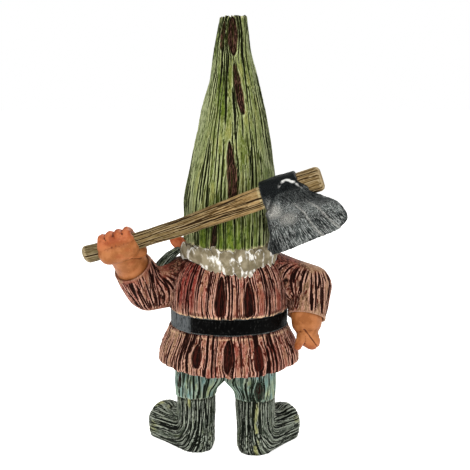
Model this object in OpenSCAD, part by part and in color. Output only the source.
// Garden gnome that carries an eye hoe across its back.
// Hollow and solid castings, pinned and glued together. Millimetres, +Z up.
// The figure faces -Y, and its left side is +X.

/* [Body] */
// Height of the tunic's hem above the ground
hem_z = 73; // [60:1:90]
// Height of the skirt from the hem to the belt
skirt_h = 30; // [24:1:38]
// Radius of the skirt at its widest
hem_r = 56.5; // [52:0.5:70]
// Radius of the waist under the belt
waist_r = 42.5; // [35:0.5:50]
// Radius of the tunic at the chest
chest_r = 45.5; // [40:0.5:56]
// Height of the tunic from the belt to the neck
chest_h = 33; // [27:1:42]
// Wall of the hollow castings
wall = 7; // [5:0.5:9]

/* [Belt] */
// Width of the strap
belt_w = 14; // [10:0.5:18]
// Thickness of the strap
belt_t = 3.5; // [2:0.5:5]
// Width of the buckle
buckle_w = 25; // [18:1:32]
// Thickness of the buckle's bars
buckle_bar = 4; // [3:0.5:5]

/* [Hat and head] */
// Height of the hat from its rim at the back
hat_h = 175; // [120:1:220]
// Radius of the hat above the rim
hat_r = 36; // [31:0.5:44]
// Radius of the broken top
hat_top_r = 9.8; // [6:0.2:14]
// Sideways lean of the hat in degrees
hat_lean = 1.6; // [0:0.1:4]
// Thickness of the hat at the rim
hat_rim_t = 4.8; // [3:0.2:7]
// Rise of the rim from the back to the front in degrees
rim_rise = 10; // [0:1:14]
// Thickness of the hair on the head
hair_t = 7.5; // [4:0.5:10]
// Length of the beard below the chin
beard_l = 33; // [16:1:40]
// Thickness of the beard on the tunic
beard_t = 7; // [4:0.5:10]

/* [Legs and boots] */
// Distance between the two legs
stance_w = 47; // [42:0.5:56]
// Radius of a trouser leg
leg_r = 16; // [13:0.5:18]
// Height of a boot's shaft
boot_h = 46; // [34:1:54]
// Distance from the ankle to the middle of the toe cap
boot_len = 40; // [30:1:52]
// Radius of the toe cap
toe_r = 15.5; // [12:0.5:18]
// Outward turn of the left foot in degrees
splay_left = 41; // [20:1:55]
// Outward turn of the right foot in degrees
splay_right = 35; // [20:1:55]

/* [Arms] */
// Radius of a sleeve at the shoulder
shoulder_r = 20; // [16:0.5:23]
// Radius of a sleeve at the elbow
elbow_r = 16.5; // [13:0.5:19]
// Radius of a sleeve at the cuff
cuff_r = 14.5; // [12:0.5:17]
// Radius of the bare left forearm
wrist_r = 12.5; // [10:0.5:13.5]
// Sideways distance from the body's axis to the left fist
fist_x = 82.5; // [78:0.5:96]

/* [Hoe] */
// Length of the handle
handle_len = 186; // [170:1:220]
// Radius of the handle at the grip
grip_r = 6.6; // [5:0.1:8]
// Radius of the handle in the hoe's eye
eye_r = 8.6; // [7:0.1:9.4]
// Length of handle past the fist at the butt end
butt_len = 27; // [22:1:34]
// Length of handle past the middle of the hoe's eye
stub_len = 31.5; // [24:0.5:40]
// Slope of the handle in degrees
hoe_rise = 18.5; // [12:0.5:24]
// Swing of the handle away from the shoulders in degrees
hoe_swing = 5.4; // [2:0.1:8]
// Length of the hoe's eye along the handle
eye_len = 28; // [20:1:34]
// Wall of the hoe's eye
eye_wall = 2.7; // [2:0.1:4]
// Length of the blade from the handle's axis
blade_len = 50; // [36:1:56]
// Width of the cutting edge
blade_w = 68; // [50:1:74]
// Thickness of the blade
blade_t = 3; // [2:0.5:5]

/* [Pins] */
// Radius of the steel leg rods
rod_r = 2; // [1.5:0.1:3]
// Radius of the shoulder pins
pin_r = 2.5; // [1.5:0.1:3.5]
// Radius of the neck dowel
dowel_r = 3; // [2:0.1:4]
// Gap that holds glue between two castings
glue = 0.2; // [0.1:0.05:0.3]

/* [Hidden] */
$fn = 64;
soft_fn = 28;
far = 400;

// Heights of the body
belt_z = hem_z + skirt_h;
belt_top = belt_z + belt_w;
belt_r = waist_r + belt_t;
seat_z = hem_z + 9;
neck_z = belt_top + chest_h;
dome_z = belt_top + 5;
dome_h = chest_h + 7;
cavity_r = waist_r - wall;
pour_r = 8;
spigot_r = 20;

// Head and hat
head_r = hat_r - hat_rim_t - glue;
head_y = -2;
head_z = neck_z + 16;
face_r = 15;
nose_r = 6.5;
nose = [0, head_y - head_r - 2.5, head_z - 1.5];
lip_z = head_z - 9.5;
rim_z = head_z + 5.5;
rim_back_z = rim_z - hat_r * tan(rim_rise);
hat_top_z = rim_back_z + hat_h;
crown_z = rim_z + 15;

// Legs, from the ankle that each stands on
hip_x = 2.7;
left_ankle = [hip_x + stance_w / 2, -1];
right_ankle = [hip_x - stance_w / 2, 6];
peg_r = leg_r - 6;
peg_h = 10;
rod_low_z = 8;
sole_round = 3.5;
rod_high_z = seat_z + peg_h + 6;

// Arms
shoulder_z = belt_top + 21;
left_shoulder = [chest_r - 10, 0, shoulder_z];
right_shoulder = [-chest_r + 9, 0, shoulder_z + 2];
left_elbow = left_shoulder + [shoulder_r + 8.5, 3, -7];
right_elbow = right_shoulder + [-shoulder_r - 8, 1, -7];
hip_hand = [-max(belt_r + 12.5, hem_r + 2.5), 15, belt_z + 4];
cuff_plug = 9;
socket_r = wrist_r - 4;
left_reach = 25;
right_reach = 24;

// Hoe: a frame along the handle, down the blade and out of its face
hoe_dir = [-cos(hoe_rise) * cos(hoe_swing), cos(hoe_rise) * sin(hoe_swing), sin(hoe_rise)];
cross_z = rim_back_z + 34;
nest = 0.8;
cross_at = fist_x / (cos(hoe_rise) * cos(hoe_swing));
eye_at = handle_len - butt_len - stub_len;
taper_from = 18;
taper_to = eye_at - eye_len / 2 - 6;
cross_r = grip_r + (eye_r - grip_r) * (cross_at - taper_from) / (taper_to - taper_from);
cross_point = [0, hat_radius(cross_z) + cross_r - nest, cross_z];
grip_point = cross_point - hoe_dir * cross_at;
eye_point = grip_point + hoe_dir * eye_at;
blade_lean = [-0.32, -0.45, -0.84];
blade_dir = unit(blade_lean - hoe_dir * (blade_lean * hoe_dir));
blade_face = cross(hoe_dir, blade_dir);
collar_r = eye_r + glue + eye_wall;
tip_along = blade_w * 0.594;
heel_along = tip_along - blade_w;
tip_down = blade_len * 0.79;
// Outline of the blade below the eye: shares of its reach along the handle and of its length down
heel_side = [[-0.63, 0.45], [-0.7, 0.65], [-0.87, 0.86], [-1, 0.99], [-0.98, 1.02]];
cutting_edge = [[-0.5, 1.03], [0.1, 1], [0.51, 0.96], [0.77, 0.92]];
tip_side = [[0.91, 0.87], [0.99, 0.79], [1, 0.7], [0.94, 0.54], [0.86, 0.41], [0.75, 0.28], [0.63, 0.18]];
blade_outline = concat([[eye_len / 2, 0], [-eye_len / 2, 0]],
    [for (p = concat(heel_side, cutting_edge, tip_side))
        [p.x < 0 ? -p.x * heel_along : p.x * tip_along, p.y * blade_len]]);
stub_r = eye_r + 0.8;

// The origin is under the middle of the whole figure's box
butt_point = grip_point - hoe_dir * butt_len;
tip_point = eye_point + hoe_dir * tip_along + blade_dir * tip_down;
mid_x = (butt_point.x + grip_r * sin(hoe_rise) + min(tip_point.x, right_elbow.x - elbow_r)) / 2;
mid_y = (max(hem_r, eye_point.y + collar_r) - hem_r) / 2;

function unit(v) = v / norm(v);
// Radius of the hat at a height: a bell that swells above the rim and narrows to the broken top
function hat_share(z) = max(0, (z - rim_back_z) / hat_h);
function hat_radius(z) = let (t = hat_share(z))
    hat_top_r + (hat_r - hat_top_r) * pow(cos(90 * pow(t, 1.2)), 1.42) * (1 - 0.12 * t * t);
// Radius of the tunic's top at a height, grown by g
function dome_at(z, g = 0) = (chest_r + g) * pow(cos(asin(pow(max(0, z - dome_z) / (dome_h + g), 1.25))), 0.8);
// Outline of the tunic's top, from the waist over the chest to the neck, grown by g
function dome(g, steps = 14) = [for (i = [0:steps]) let (a = 90 * i / steps)
    [(chest_r + g) * pow(cos(a), 0.8), dome_z + (dome_h + g) * pow(sin(a), 0.8)]];

module figure() {
    translate([-mid_x, -mid_y, 0]) children();
}

module ball(p, r, fn = soft_fn) {
    translate(p) sphere(r, $fn = fn);
}

module limb(p, pr, q, qr, fn = soft_fn) {
    hull() {
        ball(p, pr, fn);
        ball(q, qr, fn);
    }
}

// Children's +Z turns to direction d at point p
module aim(p, d) {
    translate(p) rotate([0, acos(d.z / norm(d)), atan2(d.y, d.x)]) children();
}

module bar(p, d, r, from, to) {
    aim(p, d) translate([0, 0, from]) cylinder(r = r, h = to - from);
}

// Everything above the hat's sloping rim
module above_rim(lift = 0) {
    translate([0, 0, rim_z + lift]) rotate([-rim_rise, 0, 0])
        translate([-far / 2, -far / 2, 0]) cube([far, far, far]);
}

module hoe_frame() {
    multmatrix([[hoe_dir.x, blade_dir.x, blade_face.x, eye_point.x],
                [hoe_dir.y, blade_dir.y, blade_face.y, eye_point.y],
                [hoe_dir.z, blade_dir.z, blade_face.z, eye_point.z]]) children();
}

// The hat's shape between two heights, thinner all round by inset and leaning about its rim
module hat_form(low, high, inset = 0, steps = 24) {
    translate([0, 0, rim_z]) rotate([0, -hat_lean, 0]) translate([0, 0, -rim_z])
        rotate_extrude() polygon(concat([[0, low]],
            [for (i = [0:steps]) let (z = low + (high - low) * i / steps) [hat_radius(z) - inset, z]],
            [[0, high]]));
}

module hat() {
    color("olivedrab") difference() {
        intersection() {
            hat_form(rim_back_z - 2, hat_top_z);
            above_rim();
        }
        // Socket for the crown of the head, and the hollow above it
        translate([0, 0, rim_back_z - 5]) cylinder(r = head_r + glue, h = crown_z + glue - rim_back_z + 5);
        hat_form(crown_z - 1, crown_z + hat_h * 0.55, wall + 1, 10);
        // Shallow seat where the handle lies against the back
        bar(grip_point, hoe_dir, cross_r + glue + 0.6, -butt_len, handle_len);
    }
}

module head_ball(g = 0) {
    translate([0, head_y, head_z]) sphere(r = head_r + g);
}

module ear(side) {
    limb([side * (head_r - 1), head_y, head_z - 3], 6, [side * (head_r + 12), head_y + 4, head_z + 2], 3, 20);
}

module head() {
    color("peru") difference() {
        union() {
            difference() {
                head_ball();
                translate([-far / 2, -far / 2, neck_z - far]) cube([far, far, far]);
            }
            translate([0, 0, head_z]) cylinder(r = head_r, h = crown_z - head_z);
            for (side = [-1, 1])
                difference() {
                    ear(side);
                    above_rim(-0.5);
                }
            nose_ball();
        }
        translate([0, 0, neck_z - 1]) cylinder(r = dowel_r + glue, h = 17);
    }
}

module hair() {
    color("lightgray") difference() {
        rotate_extrude() polygon([[head_r + glue, neck_z - 3], [head_r + hair_t - 3, neck_z - 3],
            [head_r + hair_t, neck_z - 1], [head_r + hair_t + 1, neck_z + 5], [head_r + hair_t, neck_z + 12],
            [hat_r - 0.5, rim_z + 8], [head_r + glue, rim_z + 8]]);
        above_rim(-glue);
        translate([-far / 2, 6 - far, 0]) cube([far, far, far]);
        tunic_dome(glue);
        for (side = [-1, 1])
            limb([side * shoulder_of(side).x, 0, shoulder_of(side).z], shoulder_r + 0.6,
                 [side * shoulder_of(side).x, 0, shoulder_of(side).z - 1], shoulder_r + 0.6);
        blade_room();
    }
}

// Room that the blade's heel needs beside the head
module blade_room() {
    hoe_frame() translate([heel_along - 1, 0, -blade_t / 2 - 0.6])
        cube([blade_w + 2, blade_len + 4, blade_t + 1.2]);
}

function shoulder_of(side) = side > 0 ? left_shoulder : [-right_shoulder.x, 0, right_shoulder.z];

module tunic_dome(g = 0) {
    rotate_extrude() polygon(concat([[0, belt_z], [waist_r, belt_z], [waist_r + g, belt_top]], dome(g)));
}

// Front outline of the beard: wide at the cheeks, a rounded point on the chest
module beard_outline() {
    low = neck_z - beard_l + 4;
    difference() {
        hull() {
            translate([0, low + 6]) circle(r = 6, $fn = 32);
            for (side = [-1, 1]) translate([side * (head_r - 9), neck_z - 4]) circle(r = 10, $fn = 32);
            translate([-head_r, neck_z + 5]) square([2 * head_r, 6]);
        }
        translate([0, head_z + 5]) circle(r = face_r, $fn = 48);
    }
}

// All that the beard could fill in front of the chest and the cheeks, grown by g
module beard_form(g = 0) {
    rotate_extrude() polygon(concat([[0, belt_z], [chest_r + beard_t + g, belt_z]], dome(beard_t + g)));
    translate([0, 0, belt_z]) cylinder(r = head_r + 5.5 + g, h = rim_z + 6 - belt_z);
}

module nose_ball(g = 0) {
    translate(nose) sphere(r = nose_r + g, $fn = 32);
}

module beard() {
    color("lightgray") difference() {
        intersection() {
            beard_form();
            rotate([90, 0, 0]) linear_extrude(far / 2) beard_outline();
        }
        tunic_dome(glue);
        translate([0, 0, neck_z - 1]) cylinder(r = head_r + glue, h = 60);
        head_ball(glue);
        nose_ball(glue);
        translate([-far / 2, -8, 0]) cube([far, far, far]);
        above_rim(-glue);
    }
}

// A point on the beard's front, turned by an angle from the middle
function on_beard(angle, z, lift) =
    [(dome_at(z, beard_t) + lift) * sin(angle), -(dome_at(z, beard_t) + lift) * cos(angle), z];

module moustache() {
    color("gainsboro") difference() {
        union() for (side = [-1, 1])
            limb(on_beard(side * 5, lip_z, 0.5), 4.8, on_beard(side * 22, lip_z - 5, 0), 3.4, 20);
        beard_form(glue);
        head_ball(glue);
        nose_ball(glue);
    }
}

module tunic_top() {
    color("indianred") difference() {
        rotate_extrude() polygon(concat([[0, belt_z + belt_w / 2], [waist_r, belt_z + belt_w / 2],
            [waist_r, belt_top]], dome(0)));
        // Pocket that the head stands in
        translate([0, 0, neck_z]) cylinder(r = head_r + glue, h = 60);
        // Hollow of the casting, open below for the skirt's spigot
        difference() {
            translate([0, 0, belt_top - 1]) cylinder(r = cavity_r, h = neck_z - wall - belt_top + 1);
            translate([0, 0, neck_z - wall - 9]) cylinder(r = dowel_r + 5, h = 20);
        }
        translate([0, 0, belt_z]) cylinder(r = spigot_r + glue, h = belt_w + 2);
        translate([0, 0, neck_z - wall - 7]) cylinder(r = dowel_r + glue, h = 30);
        for (side = [-1, 1])
            shoulder_bore(side);
    }
}

module shoulder_bore(side) {
    bar([0, 0, shoulder_of(side).z], [side, 0, 0], pin_r + glue, cavity_r - 2, chest_r + 13);
}

module tunic_skirt() {
    color("indianred") difference() {
        union() {
            rotate_extrude() polygon([[0, seat_z], [hem_r - 12, seat_z], [hem_r - 8, hem_z + 3],
                [hem_r - 6, hem_z], [hem_r - 2.5, hem_z + 1], [hem_r, hem_z + 5],
                [hem_r - 1.5, hem_z + skirt_h * 0.43], [belt_r + 3, hem_z + skirt_h * 0.77],
                [belt_r + 0.8, belt_z], [waist_r, belt_z], [waist_r, belt_z + belt_w / 2],
                [0, belt_z + belt_w / 2]]);
            translate([0, 0, belt_z]) cylinder(r = spigot_r, h = belt_w);
        }
        // Pour hole of the casting
        translate([hip_x, 2, seat_z - 1]) cylinder(r = pour_r, h = far);
        for (ankle = [left_ankle, right_ankle]) {
            translate([ankle.x, ankle.y, seat_z - 1]) cylinder(r = peg_r + glue, h = peg_h + 1 + glue);
            translate([ankle.x, ankle.y, seat_z]) cylinder(r = rod_r + glue, h = rod_high_z - seat_z + glue);
        }
    }
}

module vent_plug() {
    color("dimgray") translate([hip_x, 2, 0]) {
        translate([0, 0, seat_z]) cylinder(r = pour_r - glue, h = 9);
        translate([0, 0, seat_z - 1.5]) cylinder(r = min(pour_r + 1.4, stance_w / 2 - leg_r), h = 1.5);
    }
}

module belt() {
    edge = 0.8;
    color("black") rotate_extrude() polygon([[waist_r + glue, belt_z], [belt_r - edge, belt_z],
        [belt_r, belt_z + edge], [belt_r, belt_top - edge], [belt_r - edge, belt_top],
        [waist_r + glue, belt_top]]);
}

// A block of the buckle's size, curved at the back to lie on the belt
module on_belt(w, h, depth) {
    difference() {
        translate([-w / 2, -belt_r - depth, belt_z + belt_w / 2 - h / 2]) cube([w, depth + 4, h]);
        translate([0, 0, belt_z - 20]) cylinder(r = belt_r + 0.05, h = belt_w + 40, $fn = 180);
    }
}

module buckle() {
    high = belt_w + 4;
    color("goldenrod") difference() {
        on_belt(buckle_w, high, 3.5);
        translate([-buckle_w / 2 + buckle_bar, -belt_r - 10, belt_z + belt_w / 2 - high / 2 + buckle_bar])
            cube([buckle_w - 2 * buckle_bar, 20, high - 2 * buckle_bar]);
    }
}

module buckle_prong() {
    color("goldenrod") on_belt(buckle_w - 2 * buckle_bar - 0.4, 2.6, 2.6);
}

module trouser_leg(ankle) {
    color("cadetblue") translate([ankle.x, ankle.y, 0]) difference() {
        rotate_extrude() polygon([[0, boot_h - peg_h], [peg_r, boot_h - peg_h], [peg_r, boot_h],
            [leg_r, boot_h], [leg_r + 0.6, boot_h + 2], [leg_r, boot_h + 6],
            [leg_r - 0.8, (boot_h + seat_z) / 2], [leg_r, seat_z], [peg_r, seat_z],
            [peg_r, seat_z + peg_h], [0, seat_z + peg_h]]);
        translate([0, 0, 0]) cylinder(r = rod_r + glue, h = far);
    }
}

module leg_rod(ankle) {
    color("silver") translate([ankle.x, ankle.y, rod_low_z]) cylinder(r = rod_r, h = rod_high_z - rod_low_z);
}

// A boot whose toe turns out by splay degrees towards side
module boot(ankle, side, splay) {
    toe = boot_len * [side * sin(splay), -cos(splay)];
    color("darkslategray") translate([ankle.x, ankle.y, 0]) difference() {
        union() {
            hull() {
                cylinder(r = leg_r - sole_round, h = 1, $fn = 32);
                translate([0, 0, 9]) cylinder(r = leg_r - 0.5, h = boot_h - 9, $fn = 32);
            }
            hull() {
                cylinder(r = leg_r - sole_round, h = 1, $fn = 32);
                translate([0, 0, 9]) cylinder(r = leg_r - 1.5, h = boot_h - 29, $fn = 32);
                ball([toe.x, toe.y, toe_r - 2], toe_r);
                translate([toe.x, toe.y, 0]) cylinder(r = toe_r - sole_round, h = 1, $fn = 32);
            }
        }
        translate([-far / 2, -far / 2, -far]) cube([far, far, far]);
        translate([0, 0, boot_h - peg_h - glue]) cylinder(r = peg_r + glue, h = far);
        translate([0, 0, rod_low_z]) cylinder(r = rod_r + glue, h = far);
    }
}

// A puffed sleeve from the shoulder over the elbow to a cut-off cuff
module sleeve(side, shoulder, elbow, hand, reach) {
    d = unit(hand - elbow);
    color("rosybrown") difference() {
        union() {
            limb(shoulder, shoulder_r, elbow, elbow_r);
            limb(elbow, elbow_r, elbow + d * reach, cuff_r);
        }
        tunic_dome(glue);
        translate([0, 0, belt_z - 1]) cylinder(r = belt_r + glue, h = belt_w + 1 + glue);
        // Flat end of the cuff, and the socket for the arm
        aim(elbow + d * reach, d) translate([0, 0, 0]) cylinder(r = cuff_r + 20, h = 60);
        bar(elbow, d, socket_r + glue, reach - cuff_plug - glue, reach + 5);
        shoulder_bore(side);
        head_ball(0.5);
        translate([0, 0, neck_z - 4]) cylinder(r = head_r + hair_t + 0.8, h = 30);
    }
}

module left_fist() {
    d = unit(grip_point - left_elbow);
    cuff = left_elbow + d * left_reach;
    color("peru") difference() {
        union() {
            difference() {
                limb(cuff + d * 2, wrist_r, grip_point - d * 3, wrist_r);
                aim(cuff, d) translate([0, 0, -60]) cylinder(r = 40, h = 60);
            }
            limb(grip_point - hoe_dir * 4.5, grip_r + 4.6, grip_point + hoe_dir * 4.5, grip_r + 4.6);
            bar(cuff, d, socket_r, -cuff_plug, 8);
        }
        bar(grip_point, hoe_dir, grip_r + glue, -40, 40);
    }
}

module right_hand() {
    d = unit(hip_hand - right_elbow);
    cuff = right_elbow + d * right_reach;
    palm = hip_hand + [-3, 1, -9];
    color("peru") union() {
        difference() {
            limb(cuff + d * 2, wrist_r - 2.5, palm, 8.5);
            aim(cuff, d) translate([0, 0, -60]) cylinder(r = 40, h = 60);
        }
        limb(palm, 8, palm + [-3, -1, -5], 6.5);
        limb(palm, 7.5, palm + [-1, -20, -1], 6);
        bar(cuff, d, socket_r, -cuff_plug, 6);
    }
}

module hoe_handle() {
    color("sienna") aim(grip_point, hoe_dir) rotate_extrude() polygon([[0, -butt_len],
        [grip_r - 2, -butt_len], [grip_r, -butt_len + 2.5], [grip_r, taper_from],
        [eye_r, taper_to], [eye_r, eye_at + eye_len / 2 + 1],
        [stub_r, eye_at + eye_len / 2 + 10], [stub_r, handle_len - butt_len - 3],
        [stub_r - 2.5, handle_len - butt_len], [0, handle_len - butt_len]]);
}

module hoe_blade() {
    color("dimgray") difference() {
        union() {
            bar(eye_point, hoe_dir, collar_r, -eye_len / 2, eye_len / 2);
            hoe_frame() translate([0, 0, -blade_t / 2]) linear_extrude(blade_t)
                polygon(blade_outline);
        }
        bar(eye_point, hoe_dir, eye_r + glue, -eye_len, eye_len);
    }
}

module neck_dowel() {
    color("silver") translate([0, 0, neck_z - wall - 6]) cylinder(r = dowel_r, h = wall + 6 + 15);
}

module shoulder_pin(side) {
    color("silver") bar([0, 0, shoulder_of(side).z], [side, 0, 0], pin_r, cavity_r, chest_r + 12);
}

figure() hat();
figure() head();
figure() hair();
figure() beard();
figure() moustache();
figure() tunic_top();
figure() tunic_skirt();
figure() belt();
figure() buckle();
figure() buckle_prong();
figure() trouser_leg(left_ankle);  // left_trouser_leg
figure() trouser_leg(right_ankle);  // right_trouser_leg
figure() boot(left_ankle, 1, splay_left);  // left_boot
figure() boot(right_ankle, -1, splay_right);  // right_boot
figure() sleeve(1, left_shoulder, left_elbow, grip_point, left_reach);  // left_sleeve
figure() sleeve(-1, right_shoulder, right_elbow, hip_hand, right_reach);  // right_sleeve
figure() left_fist();
figure() right_hand();
figure() hoe_handle();
figure() hoe_blade();
figure() neck_dowel();
figure() shoulder_pin(1);  // left_shoulder_pin
figure() shoulder_pin(-1);  // right_shoulder_pin
figure() leg_rod(left_ankle);  // left_leg_rod
figure() leg_rod(right_ankle);  // right_leg_rod
figure() vent_plug();
